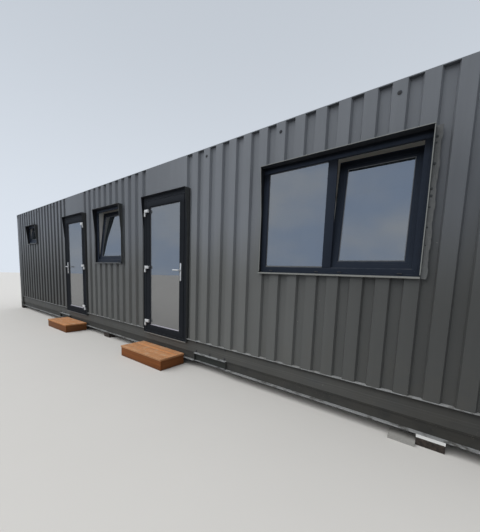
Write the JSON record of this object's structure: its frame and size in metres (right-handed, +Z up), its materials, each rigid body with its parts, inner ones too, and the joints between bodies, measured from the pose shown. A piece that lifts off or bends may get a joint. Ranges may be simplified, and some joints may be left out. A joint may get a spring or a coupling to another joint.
{
  "type": "container house",
  "caption": "Grey ribbed steel container house with glazed doors, hooded windows, tilted sashes, timber box steps and support pads",
  "frame": {"origin": "on the ground, at the middle of the bounding box of the house with its steps", "axes": "+X along the house, to the right as seen from the door side; +Y from the door side to the plain back; +Z up"},
  "size_m": [12.192, 2.858, 2.991],
  "materials": {
    "wall_paint": "satin grey paint on ribbed steel",
    "underframe_paint": "dark undercoat",
    "floor_ply": "varnished plywood",
    "white_lining": "white faced insulated panel",
    "casing_paint": "anthracite powder coat, fine grain",
    "frame_paint": "anthracite powder coat, satin",
    "window_glass": "clear double glazing",
    "hinge_white": "white satin cover",
    "bright_flashing": "pale satin strip",
    "handle_silver": "silver anodised",
    "decking_wood": "brown stained boards, matte",
    "skirt_wood": "brown stained boards, matte",
    "pad_timber": "weathered timber",
    "pale_board": "pale painted board"
  },
  "bodies": {
    "house": {"back_wall": "wall_paint", "bottom_end_rails": "wall_paint", "bottom_rail_back": "wall_paint", "bottom_rail_front": "wall_paint", "ceiling": "white_lining", "corner_castings": "wall_paint", "corner_posts": "wall_paint", "door_casings": "casing_paint", "door_frames": "frame_paint", "end_walls": "wall_paint", "floor_beams": "underframe_paint", "floor_deck": "floor_ply", "front_wall_left": "wall_paint", "front_wall_middle": "wall_paint", "front_wall_right": "wall_paint", "hinge_pins": "hinge_white", "lining_back": "white_lining", "lining_ends": "white_lining", "lining_front": "white_lining", "plates_over_doors": "wall_paint", "roof_edge_strips": "wall_paint", "roof_sheet": "wall_paint", "sash_big_window": "frame_paint", "sash_middle_window": "frame_paint", "sash_small_window": "frame_paint", "sill_flashings": "bright_flashing", "step_decks": "decking_wood", "step_skirts": "skirt_wood", "support_boards": "pale_board", "support_timbers": "pad_timber", "top_rails": "wall_paint", "window_casings": "casing_paint", "window_frames": "frame_paint", "window_panes": "window_glass"},
    "right_door": {"leaf_right_door": "frame_paint", "pane_right_door": "window_glass", "hinge_flags_right": "hinge_white", "handle_plates_right": "handle_silver"},
    "left_door": {"leaf_left_door": "frame_paint", "pane_left_door": "window_glass", "hinge_flags_left": "hinge_white", "handle_plates_left": "handle_silver"},
    "right_lever": {"lever_right": "handle_silver"},
    "left_lever": {"lever_left": "handle_silver"}
  },
  "joints": [
    {"name": "right_door_hinge", "type": "hinge", "parent": "house", "child": "right_door", "pos_m": [1.044, -1.032, 1.4], "axis": [0, 0, -1], "range_deg": [0, 100]},
    {"name": "left_door_hinge", "type": "hinge", "parent": "house", "child": "left_door", "pos_m": [-1.2705, -1.032, 1.4], "axis": [0, 0, 1], "range_deg": [0, 100]},
    {"name": "right_lever_turn", "type": "hinge", "parent": "right_door", "child": "right_lever", "pos_m": [1.913, -0.986, 1.4], "axis": [0, -1, 0], "range_deg": [0, 35], "stiffness_Nm_per_rad": 3, "springref_deg": -17.19},
    {"name": "left_lever_turn", "type": "hinge", "parent": "left_door", "child": "left_lever", "pos_m": [-2.1395, -0.986, 1.4], "axis": [0, 1, 0], "range_deg": [0, 35], "stiffness_Nm_per_rad": 3, "springref_deg": -17.19}
  ]
}
